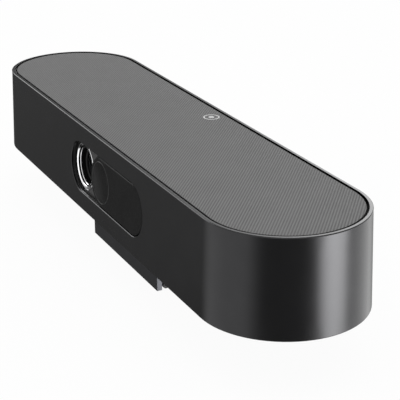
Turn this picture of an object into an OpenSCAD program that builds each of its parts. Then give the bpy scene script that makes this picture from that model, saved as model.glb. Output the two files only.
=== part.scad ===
// Conference camera: a long video bar with a sliding lens shutter, standing on its folded display clip.
// X runs along the bar, the front faces -Y, and Z = 0 is the table under the folded clip.

/* [Body] */
// Length across the round ends, at the top
body_len = 340; // [320:1:380]
// Depth from front to back, at the top
body_depth = 80; // [78:1:90]
// Height of the body
body_h = 48; // [46:0.5:56]
// How far each side spreads from the top edge to the bottom edge
draft = 1.5; // [0.6:0.1:2.5]
// Width of the rim around the grille
rim_w = 1.8; // [1.6:0.1:2.4]
// Bevel along the outer edges of the body
edge_bevel = 0.35; // [0.2:0.05:0.5]
// Height of the folded clip under the body
clip_h = 27; // [26:0.5:32]

/* [Grille] */
// Open gap between the rim and the grille
grille_gap = 0.8; // [0.5:0.1:1.2]
// Depth of the grille below the rim
grille_drop = 0.5; // [0.3:0.1:1]
// Thickness of the grille cloth
cloth_t = 0.6; // [0.4:0.1:1]
// Thickness of the slotted carrier under the cloth
carrier_t = 2; // [1.6:0.1:2.6]
// Width of one sound slot
slot_w = 2.4; // [1.6:0.2:3]
// Rib between two sound slots
slot_rib = 2; // [1.4:0.2:3]
// Length of the longest sound slot
slot_len = 46; // [30:1:50]

/* [Bottom cover] */
// Thickness of the bottom cover
cover_t = 2.5; // [2:0.1:3]
// Depth of the cover above the bottom edge
cover_drop = 0.4; // [0.2:0.1:1]
// Gap around the cover
cover_gap = 0.2; // [0.1:0.05:0.4]

/* [Lens recess] */
// Place of the lens axis along the bar
lens_x = -19.5; // [-30:0.5:-10]
// Height of the recess in the front
recess_h = 27.6; // [26:0.2:29]
// Length of the recess in the front
recess_len = 97.6; // [94:0.2:104]
// Thickness of the front wall over the shutter's edge
lip_t = 1.2; // [1:0.1:1.6]
// Bevel around the recess
recess_bevel = 0.3; // [0.1:0.05:0.5]

/* [Shutter] */
// Length of the shutter
shutter_len = 68; // [64:0.5:70]
// Gap between the shutter's face and the recess
shutter_gap = 0.4; // [0.3:0.05:0.6]
// Depth of the shutter's face behind the front
shutter_drop = 0.25; // [0.1:0.05:0.5]
// Thickness of the shutter's guided edge
edge_t = 1; // [0.8:0.1:1.4]
// How far the guided edge reaches behind the front wall
edge_reach = 1; // [0.8:0.1:1.4]
// Radius of the finger dish
dish_r = 11.2; // [8:0.2:12]
// Depth of the finger dish
dish_deep = 0.8; // [0.4:0.1:1]

/* [Lens] */
// Inner radius of the lens bezel
bezel_bore_r = 9.9; // [9.8:0.1:10.4]
// Depth of the bezel's funnel
funnel_deep = 1.8; // [1:0.1:2.4]
// Radius of the lens barrel
barrel_r = 9.6; // [9:0.1:9.7]
// Length of the lens barrel
barrel_len = 15.4; // [13:0.2:17]
// Radius of the opening in the retaining ring
pupil_r = 7.8; // [7:0.1:8]
// Radius of the front glass's curve
glass_curve_r = 34; // [30:1:60]

/* [Speakers] */
// Gap between the main board and a speaker box
box_board_gap = 13; // [11:0.5:16]
// Gap between a speaker box and the round end of the body
box_end_gap = 2.6; // [1.5:0.1:6]
// Gap between a speaker box and the screw bosses beside it
box_boss_gap = 0.7; // [0.4:0.1:2]
// Height of a speaker box
box_h = 26; // [25:0.5:30]
// Wall of a speaker box
box_wall = 2; // [1.6:0.1:2.6]
// Gap between a driver's frame and the side of its box
driver_side_gap = 2; // [1.5:0.1:3]

/* [Electronics] */
// Length of the main board
board_len = 100; // [94:1:102]
// Width of the main board
board_w = 35; // [32:1:35]
// Thickness of the circuit boards
pcb_t = 1.6; // [1:0.1:2]
// Height of the standoffs under the main board
standoff_h = 4.1; // [3.8:0.1:5]
// Number of microphones
mic_count = 6; // [2:2:8]
// Spacing of the microphones
mic_pitch = 34; // [28:1:36]

/* [Clip] */
// Width of the clip
clip_w = 88; // [80:1:100]
// Thickness of the clip's plate
clip_t = 3; // [2.5:0.1:3.5]
// Place of the lip's front face in front of the tilt axis
lip_y = 24.4; // [23:0.2:27]
// Height of the throat between the plate and the table
throat_h = 12; // [12:0.1:13]
// Place of the leg hinge behind the tilt axis
hinge_y = 20; // [19:0.5:24]
// Radius of the leg's hinge barrel
hinge_r = 3.2; // [3:0.1:3.4]
// Radius of the rubber tip of the leg
tip_r = 1.75; // [1.5:0.05:1.9]
// Thickness of the leg at its tip
leg_tip_t = 3; // [2.6:0.1:3.2]
// Height of the tilt axis above the clip's plate
tilt_rise = 4.4; // [4.2:0.1:5]
// Radius of the tilt pin
tilt_pin_r = 2; // [1.5:0.1:2.2]
// Radius of the leg's hinge pin
leg_pin_r = 1.5; // [1:0.1:1.8]
// Radius inside the tripod thread
tripod_r = 2.6; // [2.4:0.05:3]

/* [Hidden] */
$fn = 96;

// Overrun of every cut, and the smallest play between pieces of one body
cut = 1;
fit = 0.1;
// Radial running clearance of the hinge pins
pin_play = 0.05;

// Heights
mid_z = clip_h + body_h / 2;
top_z = clip_h + body_h;
cover_z = clip_h + cover_drop;
cover_top = cover_z + cover_t;
carrier_z = top_z - grille_drop - cloth_t - carrier_t;

// Plan of the body
inner_len = body_len - 2 * rim_w;
inner_depth = body_depth - 2 * rim_w;
cloth_len = inner_len - 2 * grille_gap;
cloth_depth = inner_depth - 2 * grille_gap;

// Ledge under the grille
ledge_t = 2;
ledge_w = 2.5;
ledge_z = carrier_z - ledge_t;

// Screw sizes: radius of the thread, of the hole through the piece held, and of the head
cover_screw = [1.25, 1.6, 2.4];
small_screw = [0.9, 1.1, 1.7];
shoe_screw = [1.5, 1.7, 2.7];
head_h = 1.3;
socket_share = 0.45;
socket_deep = 0.7;

// Bosses for the bottom cover
boss_r = 3.5;
boss_h = 9;
boss_in = 4;
boss_y = inner_depth / 2 - boss_in;
boss_end_x = inner_len / 2 - boss_in;
cover_screw_len = 7.5;

// The front leans back by the draft, and all behind the recess is square to it
lean = atan(draft / body_h);
front_y = (body_depth + draft) / 2;

// Recess, channel and track: depths count from the front face at the lens axis
recess_x = lens_x + (recess_len - recess_h) / 2;
rub_gap = 0.15;
channel_t = edge_t + 2 * rub_gap;
floor_d = lip_t + channel_t;
track_floor_t = 2.1;
track_d = floor_d + track_floor_t;
track_plate_t = 1.8;
plate_d = track_d + track_plate_t;
edge_gap = shutter_gap - fit;
track_side = 2;
track_ear = 9;
track_x0 = recess_x - recess_len / 2 - edge_reach - track_side - track_ear;
track_x1 = recess_x + recess_len / 2 + edge_reach + track_side + track_ear;
track_h = recess_h + 2 * (edge_reach + track_side);
track_screw_in = 3.6;
track_screw_z = 9;
track_boss_r = 3;
track_boss_d = 1;
track_screw_len = 4.2;

// Places of the bosses for the bottom cover, clear of both ends of the track
boss_track_gap = 12.2;
boss_mid_gap = 7.2;
boss_out_x = track_x1 + boss_r + boss_track_gap;
boss_mid_x = -track_x0 + boss_r + boss_mid_gap;
BOSSES = [[-boss_out_x, boss_y], [boss_out_x, boss_y], [-boss_out_x, -boss_y], [boss_out_x, -boss_y],
    [-boss_mid_x, boss_y], [boss_mid_x, boss_y], [-boss_mid_x, -boss_y],
    [-boss_end_x, 0], [boss_end_x, 0]];

// Shutter
shutter_x = recess_x + recess_len / 2 - shutter_gap - shutter_len / 2;
shutter_travel = recess_len - shutter_len - 2 * shutter_gap;
shutter_h = recess_h - 2 * shutter_gap;
dish_x = shutter_x - (shutter_len - shutter_h) / 2;
dish_ball_r = (dish_r * dish_r + dish_deep * dish_deep) / (2 * dish_deep);
edge_d = lip_t + rub_gap;
spring_len = 14;
spring_w = 3.4;
spring_t = 0.2;
spring_pocket_deep = 0.6;
spring_bump_r = 0.5;
spring_x = shutter_x + shutter_len / 4;

// Lens bezel
bezel_r = recess_h / 2 - 2 * fit;
bezel_drop = 0.1;
bezel_d = floor_d + bezel_drop;
bezel_land = 0.5;
bezel_flange_w = 1.9;
bezel_flange_r = bezel_r + bezel_flange_w;
bezel_flange_t = 1.2;
bezel_back_d = plate_d + bezel_flange_t;

// Lens barrel and glass
barrel_lead = 1;
barrel_d = bezel_back_d - barrel_lead;
barrel_lip = 0.6;
seat_r = barrel_r - barrel_lip;
retainer_t = 1;
retainer_gap = 0.3;
glass_t = 2.6;
glass_r = seat_r - fit / 2;
glass_edge_d = barrel_d + retainer_t + retainer_gap;
glass_sag = glass_curve_r - sqrt(glass_curve_r * glass_curve_r - glass_r * glass_r);
rear_glass_r = 6.8;
rear_glass_t = 3;
rear_curve_r = 14;
barrel_bore_r = 6;

// Lens holder
holder_w = 36;
holder_h = 32;
holder_t = 2;
holder_r = 12;
holder_play = 0.05;
holder_foot_r = 2.8;
holder_screw_x = 15;
holder_screw_z = 13;
holder_corner_r = 3;
shelf_t = 1.5;
shelf_gap = 0.5;
shelf_hole = 10;
shelf_d = barrel_d + barrel_len + shelf_gap;
cell_deep = 2;
cell_w = 14;
sensor_w = 34;
sensor_h = 30;
sensor_d = shelf_d + shelf_t + cell_deep;
filter_w = 13;
filter_t = 0.5;
chip_w = 9;
chip_h = 7.5;
chip_t = 1.2;
sensor_screw_x = 14;
sensor_screw_z = 12;
sink_w = 24;
sink_h = 21;
sink_base_t = 1.5;
sink_fin_h = 5;
sink_fin_t = 1;
sink_fins = 7;
socket_w = 12;
socket_h = 2.6;
socket_t = 1.5;
socket_y = sink_h / 2 + socket_h;

// Flexible cable between the sensor board and the main board
flex_w = 10;
flex_t = 0.3;
flex_steps = 12;

// Main board
board_back_gap = 5.2;
board_y = inner_depth / 2 - board_back_gap - board_w;
board_corner_r = 2;
board_z = cover_top + standoff_h;
board_top = board_z + pcb_t;
standoff_r = 3;
standoff_in = 4;
board_screw_len = 5;
board_mid_y = board_y + board_w / 2;
STANDOFFS = [for (sx = [-1, 1], sy = [-1, 1])
    [sx * (board_len / 2 - standoff_in), board_mid_y + sy * (board_w / 2 - standoff_in)]];
processor_w = 16;
processor_t = 1.2;
part_share = 0.27;
processor_x = part_share * board_len;
processor_sink_w = 28;
processor_sink_d = 20;
can_w = 30;
can_d = 20;
can_h = 3;
can_wall = 0.3;
can_x = -part_share * board_len;
cap_r = 2;
cap_h = 5;
cap_count = 4;
cap_pitch = 5.5;
lead_socket_w = 5;
lead_socket_h = 3;
lead_socket_x = board_len / 2 - lead_socket_w;

// Ports in the back
port_w = 45;
port_h = 10.6;
port_gap = 0.2;
port_flange = 2;
port_flange_t = 1.4;
port_drop = 0.8;
port_foot = 1.8;
port_z = board_top + port_h / 2 - port_foot;
port_face_y = body_depth / 2 + draft * (top_z - port_z) / body_h - port_drop;
port_wall_y = inner_depth / 2;
port_lip = 0.5;
usb_x = -8;
usb_w = 9;
usb_h = 3.3;
usb_len = 8.5;
usb_wall = 0.35;
usb_tongue_w = 6.7;
usb_tongue_t = 0.7;
usb_tongue_len = 5;
jack_x = 10;
jack_w = 7;
jack_h = 5.6;
jack_nose_r = 2.6;
jack_bore_r = 1.8;
jack_deep = 12;
jack_gap = 0.2;

// Microphone board under the front of the grille
mic_board_w = 8;
mic_board_t = 1.2;
mic_board_end = 15;
mic_board_len = (mic_count - 1) * mic_pitch + 2 * mic_board_end;
mic_ledge_gap = 1.7;
mic_y = ledge_w + mic_ledge_gap + mic_board_w / 2 - inner_depth / 2;
mic_stand = 2.1;
mic_w = 4;
mic_d = 3;
mic_t = 1.1;
mic_port_r = 0.8;
gasket_r = 2.4;
post_r = 2.4;
post_end_in = 5;
mic_screw_len = 2.8;

// Touch board under the back of the grille
touch_w = 16;
touch_d = 10;
touch_t = 1;
touch_ledge_gap = 1.2;
touch_y = inner_depth / 2 - ledge_w - touch_ledge_gap - touch_d / 2;

// Hooks that hold the carrier under the ledge
hook_w = 6;
hook_t = 1.2;
hook_gap = 0.2;
hook_barb = 0.8;
hook_barb_h = 1.2;
hook_in_x = 42;
hook_end_in = 18;
hook_out_x = (inner_len - inner_depth) / 2 - hook_end_in;

// Speakers
box_corner_r = 4;
box_w = inner_depth - 2 * (boss_in + boss_r + box_boss_gap);
box_x = board_len / 2 + box_board_gap;
box_end_x = (inner_len - inner_depth + sqrt(inner_depth * inner_depth - box_w * box_w)) / 2 - box_end_gap;
box_len = box_end_x - box_x;
driver_x = box_x + box_len / 2;
box_top = cover_top + box_h;
driver_r = box_w / 2 - driver_side_gap;
driver_lip = 4;
driver_hole_r = driver_r - driver_lip;
driver_flange_t = 2;
basket_gap = 0.6;
basket_r = driver_hole_r - basket_gap;
basket_deep = 11;
basket_wall = 1.2;
basket_foot_r = 15;
basket_window_share = 0.6;
magnet_r = 17;
magnet_h = 8;
plate_t = 1.5;
roll_r = 2.6;
roll_t = 0.5;
driver_screw_in = 1.9;
cone_gap = 0.4;
cone_r = driver_hole_r - 2 * roll_r - cone_gap;
surround_r = driver_r - driver_screw_in - small_screw[2] - fit;
cone_deep = 7;
cone_t = 0.5;
coil_r = 7;
lead_rise = 10;
terminal_z = board_top + lead_rise;
lead_r = 0.9;
lead_bend = 4;

// Clip: the tilt axis runs along X through y = 0
plate_z = throat_h;
plate_top = plate_z + clip_t;
tilt_z = plate_top + tilt_rise;
shoe_t = 2.5;
shoe_z = cover_z - shoe_t;
shoe_w = 52;
shoe_d = 34;
shoe_corner_r = 4;
shoe_screw_x = 18;
shoe_screw_y = 11;
shoe_screw_len = 5.6;
shoe_boss_h = 3.4;
lug_w = 20;
lug_gap = 0.4;
lug_r = tilt_rise - lug_gap;
washer_t = 0.5;
washer_r = lug_r;
ear_t = 4;
ear_over = 0.2;
ear_r = tilt_rise + ear_over;
ear_x = lug_w / 2 + pin_play + washer_t;
pin_head_r = 3.2;
pin_head_t = 1.4;
bend_r = 2.4;
cheek_t = 3;
saddle_back_y = hinge_y + hinge_r;
pad_t = 0.8;
pad_side = 6;
lip_pad_z = 4;
leg_gap = 0.3;
leg_lift = 0.3;
leg_w = clip_w - 2 * (cheek_t + leg_gap);
tip_gap = 0.95;
tip_y = -lip_y + clip_t + tip_gap + tip_r;
tip_in = 1;
tip_len = clip_w - 2 * tip_in;
tongue_t = 1.2;
tongue_in = 0.4;
leg_end_share = 0.6;
leg_end_y = tip_y + leg_end_share * tip_r;
foot_w = 60;
foot_d = 14;
foot_in = 0.7;
foot_y = -7;
insert_r = 4.6;
insert_y = 9;

// A stadium outline of given length and width
module stadium(l, w) {
    square([l - w, w], center = true);
    for (s = [-1, 1]) translate([s * (l - w) / 2, 0]) circle(d = w);
}

// A stadium solid, l by w at its top, that spreads by grow on every side down to its base
module drafted(l, w, h, grow) {
    run = l - w;
    r_top = w / 2;
    r_base = r_top + grow;
    for (s = [-1, 1]) translate([s * run / 2, 0, 0]) cylinder(h = h, r1 = r_base, r2 = r_top);
    rotate([90, 0, 90]) linear_extrude(run, center = true)
        polygon([[-r_base, 0], [r_base, 0], [r_top, h], [-r_top, h]]);
}

// A rectangle with round corners
module round_rect(w, d, r) {
    square([w - 2 * r, d], center = true);
    square([w, d - 2 * r], center = true);
    for (sx = [-1, 1], sy = [-1, 1]) translate([sx * (w / 2 - r), sy * (d / 2 - r)]) circle(r);
}

// A block centred in X and Y that stands on Z = 0
module block(w, d, h) {
    translate([-w / 2, -d / 2, 0]) cube([w, d, h]);
}

// A screw that points up, with the underside of its head at Z = 0
module screw(sizes, len) {
    cylinder(h = len, r = sizes[0]);
    difference() {
        translate([0, 0, -head_h]) cylinder(h = head_h, r = sizes[2]);
        translate([0, 0, -head_h - cut]) cylinder(h = socket_deep + cut, r = socket_share * sizes[2], $fn = 6);
    }
}

// Children drawn in the plane of the front face, with the lens axis at their height
module on_front() {
    translate([0, -front_y, mid_z]) rotate([-lean, 0, 0]) children();
}

// Children that rise along Z go straight into the front, from depth d on
module into_front(d) {
    on_front() translate([0, d, 0]) rotate([-90, 0, 0]) children();
}

// Outline of the recess, grown by g on every side
module recess_outline(g) {
    translate([recess_x, 0]) stadium(recess_len + 2 * g, recess_h + 2 * g);
}

// Outline of the shutter at rest, grown by g on every side
module shutter_outline(g) {
    translate([shutter_x, 0]) stadium(shutter_len + 2 * g, shutter_h + 2 * g);
}

// Places of the four screws that hold the track
module at_track_screws() {
    for (x = [track_x0 + track_screw_in, track_x1 - track_screw_in], s = [-1, 1])
        translate([x, s * track_screw_z, 0]) children();
}

module main_housing() color("#33353a") difference() {
    union() {
        difference() {
            translate([0, 0, clip_h]) {
                drafted(body_len + 2 * draft, body_depth + 2 * draft, edge_bevel, -edge_bevel);
                translate([0, 0, edge_bevel]) drafted(body_len, body_depth, body_h - edge_bevel, draft);
            }
            translate([0, 0, clip_h - cut]) linear_extrude(body_h + 2 * cut) stadium(inner_len, inner_depth);
            translate([0, 0, top_z - edge_bevel]) difference() {
                linear_extrude(edge_bevel + cut) stadium(body_len + 2 * cut, body_depth + 2 * cut);
                drafted(body_len - 2 * edge_bevel, body_depth - 2 * edge_bevel, edge_bevel, edge_bevel);
            }
        }
        translate([0, 0, ledge_z]) linear_extrude(ledge_t) difference() {
            stadium(inner_len + rim_w, inner_depth + rim_w);
            stadium(inner_len - 2 * ledge_w, inner_depth - 2 * ledge_w);
        }
        for (b = BOSSES) translate([b[0], b[1], cover_top]) cover_boss(b);
        into_front(track_boss_d) at_track_screws() cylinder(h = track_d - track_boss_d, r = track_boss_r);
    }
    for (b = BOSSES) translate([b[0], b[1], cover_top - cut]) cylinder(h = boss_h - cut, r = cover_screw[0]);
    into_front(-cut) linear_extrude(cut + lip_t + cut) recess_outline(0);
    into_front(-cut) translate([recess_x, 0, 0])
        drafted(recess_len, recess_h, cut + recess_bevel, cut + recess_bevel);
    into_front(lip_t) linear_extrude(plate_d) recess_outline(edge_reach + track_side + fit);
    into_front(track_boss_d + rub_gap) at_track_screws() cylinder(h = track_d, r = small_screw[0]);
    translate([0, port_wall_y - cut, port_z]) rotate([-90, 0, 0])
        linear_extrude(draft + rim_w + 2 * cut)
            square([port_w + 2 * port_gap, port_h + 2 * port_gap], center = true);
}

// A screw boss that a short web joins to the nearest wall
module cover_boss(place) {
    cylinder(h = boss_h, r = boss_r);
    turn = place[1] == 0 ? (place[0] > 0 ? 0 : 180) : (place[1] > 0 ? 90 : -90);
    rotate(turn) translate([0, -boss_r, 0]) cube([boss_in + rim_w / 2, 2 * boss_r, boss_h]);
}

module bottom_cover() color("#2b2c2f") difference() {
    union() {
        translate([0, 0, cover_z]) linear_extrude(cover_t)
            stadium(inner_len - 2 * cover_gap, inner_depth - 2 * cover_gap);
        for (p = STANDOFFS) translate([p[0], p[1], cover_top]) cylinder(h = standoff_h, r = standoff_r);
        at_shoe_screws() translate([0, 0, cover_top]) cylinder(h = shoe_boss_h, r = standoff_r);
    }
    for (b = BOSSES) translate([b[0], b[1], 0]) {
        translate([0, 0, cover_z - cut]) cylinder(h = cover_t + 2 * cut, r = cover_screw[1]);
        translate([0, 0, cover_z - cut]) cylinder(h = head_h + cut, r = cover_screw[2] + fit);
    }
    for (p = STANDOFFS) translate([p[0], p[1], cover_top]) cylinder(h = standoff_h + cut, r = small_screw[0]);
    at_shoe_screws() translate([0, 0, cover_z - cut]) cylinder(h = cover_t + shoe_boss_h, r = shoe_screw[0]);
}

module cover_screws() color("#8a8c90")
    for (b = BOSSES) translate([b[0], b[1], cover_z + head_h]) screw(cover_screw, cover_screw_len);

// Sound slots over one driver, shorter towards the ends of the field
module sound_slots() {
    count = floor(slot_len / (slot_w + slot_rib) / 2);
    for (i = [-count:count]) {
        x = i * (slot_w + slot_rib);
        l = sqrt(max(slot_len * slot_len - 4 * x * x, 4 * slot_w * slot_w));
        translate([x, 0]) rotate(90) stadium(l, slot_w);
    }
}

module grille_carrier() color("#1b1b1d") difference() {
    union() {
        translate([0, 0, carrier_z]) linear_extrude(carrier_t)
            stadium(cloth_len - 2 * cloth_t, cloth_depth - 2 * cloth_t);
        for (x = [-hook_out_x, -hook_in_x, hook_in_x, hook_out_x], turn = [0, 180])
            rotate(turn) translate([x, 0, 0]) hook();
        at_mic_screws() translate([0, 0, carrier_z - mic_stand])
            cylinder(h = mic_stand + carrier_t / 2, r = post_r);
    }
    for (s = [-1, 1]) translate([s * driver_x, 0, carrier_z - cut])
        linear_extrude(carrier_t + 2 * cut) sound_slots();
    at_mics() translate([0, 0, carrier_z - cut]) cylinder(h = carrier_t + 2 * cut, r = mic_port_r);
    at_mic_screws() translate([0, 0, carrier_z - mic_stand - cut])
        cylinder(h = mic_stand + cut, r = small_screw[0]);
}

// A snap hook that reaches under the ledge at the back
module hook() {
    ledge_y = inner_depth / 2 - ledge_w;
    low = ledge_z - fit - hook_barb_h;
    translate([-hook_w / 2, ledge_y - hook_gap - hook_t, low])
        cube([hook_w, hook_t, carrier_z + carrier_t / 2 - low]);
    translate([-hook_w / 2, 0, 0]) rotate([90, 0, 90]) linear_extrude(hook_w) polygon([
        [ledge_y - hook_gap - hook_t / 2, low], [ledge_y - hook_gap, low],
        [ledge_y - hook_gap + hook_barb, low + hook_barb_h],
        [ledge_y - hook_gap - hook_t / 2, low + hook_barb_h]]);
}

module grille_cloth() color("#7a7a7a") difference() {
    translate([0, 0, carrier_z]) linear_extrude(carrier_t + cloth_t) stadium(cloth_len, cloth_depth);
    translate([0, 0, carrier_z - cut]) linear_extrude(carrier_t + cut)
        stadium(cloth_len - 2 * cloth_t, cloth_depth - 2 * cloth_t);
}

module shutter_track() color("#1e1f21") difference() {
    union() {
        into_front(lip_t) linear_extrude(track_d - lip_t) recess_outline(edge_reach + track_side);
        into_front(track_d) linear_extrude(track_plate_t) translate([(track_x0 + track_x1) / 2, 0])
            round_rect(track_x1 - track_x0, track_h, track_screw_in);
    }
    into_front(lip_t - cut) linear_extrude(channel_t + cut) recess_outline(edge_reach);
    into_front(lip_t) translate([lens_x, 0, 0]) cylinder(h = plate_d, r = bezel_r + fit);
    into_front(lip_t) at_track_screws() cylinder(h = plate_d, r = small_screw[1]);
    at_holder_screws(track_d - cut) cylinder(h = track_plate_t + 2 * cut, r = small_screw[0]);
}

module track_screws() color("#8a8c90")
    into_front(plate_d) at_track_screws() mirror([0, 0, 1]) screw(small_screw, track_screw_len);

module privacy_shutter() color("#222325") difference() {
    union() {
        into_front(shutter_drop) linear_extrude(edge_d - shutter_drop) shutter_outline(0);
        into_front(edge_d) linear_extrude(edge_t) shutter_outline(edge_reach + shutter_gap - edge_gap);
    }
    on_front() translate([dish_x, shutter_drop + dish_deep - dish_ball_r, 0]) sphere(dish_ball_r, $fn = 192);
    into_front(edge_d + edge_t - spring_pocket_deep) translate([spring_x, 0, 0])
        block(spring_len + 2 * fit, spring_w + 2 * fit, spring_pocket_deep + cut);
}

module shutter_spring() color("#c8cacc") {
    seat_d = edge_d + edge_t - spring_pocket_deep;
    into_front(seat_d) translate([spring_x, 0, 0]) block(spring_len, spring_w, spring_t);
    into_front(seat_d + spring_t) translate([spring_x, 0, 0]) rotate([90, 0, 0])
        linear_extrude(spring_w, center = true) intersection() {
            circle(spring_bump_r);
            translate([-spring_bump_r, 0]) square([2 * spring_bump_r, cut]);
        }
}

module lens_bezel() color("#d9dadc") into_front(0) translate([lens_x, 0, 0]) rotate_extrude() polygon([
    [bezel_bore_r, bezel_back_d], [bezel_flange_r, bezel_back_d], [bezel_flange_r, plate_d],
    [bezel_r, plate_d], [bezel_r, bezel_d + bezel_land / 2], [bezel_r - bezel_land / 2, bezel_d],
    [bezel_r - bezel_land, bezel_d], [bezel_bore_r, bezel_d + funnel_deep]]);

module lens_retainer() color("#17181a") into_front(0) translate([lens_x, 0, 0]) rotate_extrude() polygon([
    [pupil_r, barrel_d + retainer_t], [seat_r, barrel_d + retainer_t], [seat_r, barrel_d],
    [pupil_r + retainer_t / 2, barrel_d], [pupil_r, barrel_d + retainer_t / 2]]);

module lens_front_glass() color("#0b0d12", 0.6) into_front(0) translate([lens_x, 0, 0]) intersection() {
    translate([0, 0, glass_edge_d - glass_sag]) cylinder(h = glass_t + glass_sag, r = glass_r);
    translate([0, 0, glass_edge_d - glass_sag + glass_curve_r]) sphere(glass_curve_r, $fn = 192);
}

module lens_barrel() color("#141416") into_front(0) translate([lens_x, 0, 0]) {
    seat_d = glass_edge_d + glass_t;
    rear_d = barrel_d + barrel_len;
    rear_seat_d = rear_d - rear_glass_t;
    rotate_extrude() polygon([
        [seat_r, barrel_d], [barrel_r, barrel_d], [barrel_r, rear_d], [rear_glass_r, rear_d],
        [rear_glass_r, rear_seat_d], [barrel_bore_r, rear_seat_d], [barrel_bore_r, seat_d + barrel_lip],
        [pupil_r, seat_d], [seat_r, seat_d]]);
}

module lens_rear_glass() color("#20242c", 0.6) into_front(0) translate([lens_x, 0, 0]) {
    rear_seat_d = barrel_d + barrel_len - rear_glass_t;
    intersection() {
        translate([0, 0, rear_seat_d]) cylinder(h = rear_glass_t, r = rear_glass_r);
        translate([0, 0, rear_seat_d + rear_glass_t - rear_curve_r]) sphere(rear_curve_r, $fn = 192);
    }
}

// Places of the four holder screws, from depth d on
module at_holder_screws(d) {
    into_front(d) for (sx = [-1, 1], sz = [-1, 1])
        translate([lens_x + sx * holder_screw_x, sz * holder_screw_z, 0]) children();
}

module lens_holder() color("#26272a") difference() {
    union() {
        into_front(bezel_back_d) translate([lens_x, 0, 0]) {
            linear_extrude(holder_t) round_rect(holder_w, holder_h, holder_corner_r);
            cylinder(h = sensor_d - bezel_back_d, r = holder_r);
        }
        at_holder_screws(plate_d) cylinder(h = bezel_flange_t, r = holder_foot_r);
        into_front(sensor_d - cell_deep) translate([lens_x, 0, 0]) linear_extrude(cell_deep)
            round_rect(sensor_w, sensor_h, holder_corner_r);
    }
    into_front(bezel_back_d - cut) translate([lens_x, 0, 0])
        cylinder(h = shelf_d - bezel_back_d + cut, r = barrel_r + holder_play);
    into_front(shelf_d - cut) translate([lens_x, 0, 0]) block(shelf_hole, shelf_hole, shelf_t + 2 * cut);
    into_front(sensor_d - cell_deep) translate([lens_x, 0, 0]) block(cell_w, cell_w, cell_deep + cut);
    at_holder_screws(plate_d - cut) cylinder(h = holder_t + bezel_flange_t + 2 * cut, r = small_screw[1]);
    at_sensor_screws(sensor_d - cell_deep - cut) cylinder(h = cell_deep + 2 * cut, r = small_screw[0]);
}

module holder_screws() color("#8a8c90")
    at_holder_screws(bezel_back_d + holder_t) mirror([0, 0, 1])
        screw(small_screw, holder_t + bezel_flange_t + track_plate_t);

module ir_filter() color("#6f9aa8", 0.6)
    into_front(shelf_d + shelf_t) translate([lens_x, 0, 0]) block(filter_w, filter_w, filter_t);

module image_sensor() color("#3a4152")
    into_front(sensor_d - chip_t) translate([lens_x, 0, 0]) block(chip_w, chip_h, chip_t);

// Places of the four sensor board screws, from depth d on
module at_sensor_screws(d) {
    into_front(d) for (sx = [-1, 1], sz = [-1, 1])
        translate([lens_x + sx * sensor_screw_x, sz * sensor_screw_z, 0]) children();
}

module sensor_board() color("#1d5a35") difference() {
    union() {
        into_front(sensor_d) translate([lens_x, 0, 0]) linear_extrude(pcb_t)
            round_rect(sensor_w, sensor_h, holder_corner_r);
        into_front(sensor_d + pcb_t) translate([lens_x, socket_y, 0]) block(socket_w, socket_h, socket_t);
    }
    at_sensor_screws(sensor_d - cut) cylinder(h = pcb_t + 2 * cut, r = small_screw[1]);
}

module sensor_board_screws() color("#8a8c90")
    at_sensor_screws(sensor_d + pcb_t) mirror([0, 0, 1]) screw(small_screw, pcb_t + cell_deep);

module sensor_heatsink() color("#9ea2a6") into_front(sensor_d + pcb_t) translate([lens_x, 0, 0]) {
    block(sink_w, sink_h, sink_base_t);
    step = (sink_w - sink_fin_t) / (sink_fins - 1);
    for (i = [0:sink_fins - 1]) translate([-sink_w / 2 + sink_fin_t / 2 + i * step, 0, 0])
        block(sink_fin_t, sink_h, sink_base_t + sink_fin_h);
}

// Point on a cubic curve at share t, and the direction there
function bezier(p, t) =
    pow(1 - t, 3) * p[0] + 3 * pow(1 - t, 2) * t * p[1] + 3 * (1 - t) * t * t * p[2] + pow(t, 3) * p[3];
function slope(p, t) =
    3 * pow(1 - t, 2) * (p[1] - p[0]) + 6 * (1 - t) * t * (p[2] - p[1]) + 3 * t * t * (p[3] - p[2]);
function side(v) = [-v[1], v[0]] / norm(v);

module sensor_flex() color("#a5702c") translate([lens_x, 0, 0]) along_x(flex_w) {
    back = sensor_d + pcb_t + socket_t;
    start = [fit - front_y + back * cos(lean) - socket_y * sin(lean),
        mid_z - back * sin(lean) - socket_y * cos(lean)];
    end = [board_y + flex_w / 2, board_top + flex_t / 2];
    p = [start, start + [flex_w / 2, 0], [end[0] - flex_w / 2, end[1] + flex_t], end];
    steps = [0:1 / flex_steps:1];
    polygon(concat([for (t = steps) bezier(p, t) + side(slope(p, t)) * flex_t / 2],
        [for (t = steps) bezier(p, 1 - t) - side(slope(p, 1 - t)) * flex_t / 2]));
}

module main_board() color("#1d5a35") difference() {
    translate([0, board_mid_y, board_z]) linear_extrude(pcb_t) round_rect(board_len, board_w, board_corner_r);
    for (p = STANDOFFS) translate([p[0], p[1], board_z - cut])
        cylinder(h = pcb_t + 2 * cut, r = small_screw[1]);
}

module board_parts() color("#26282c") translate([0, 0, board_top]) {
    translate([processor_x, board_mid_y, 0]) block(processor_w, processor_w, processor_t);
    for (s = [-1, 1]) translate([s * lead_socket_x, board_mid_y, 0])
        block(lead_socket_w, lead_socket_w, lead_socket_h);
    for (i = [0:cap_count - 1])
        translate([(i - (cap_count - 1) / 2) * cap_pitch, board_y + cap_pitch / 2 + flex_w, 0])
            cylinder(h = cap_h, r = cap_r);
}

module processor_heatsink() color("#9ea2a6") translate([processor_x, board_mid_y, board_top + processor_t]) {
    block(processor_sink_w, processor_sink_d, sink_base_t);
    step = (processor_sink_w - sink_fin_t) / (sink_fins - 1);
    for (i = [0:sink_fins - 1]) translate([-processor_sink_w / 2 + sink_fin_t / 2 + i * step, 0, 0])
        block(sink_fin_t, processor_sink_d, sink_base_t + sink_fin_h);
}

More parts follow.
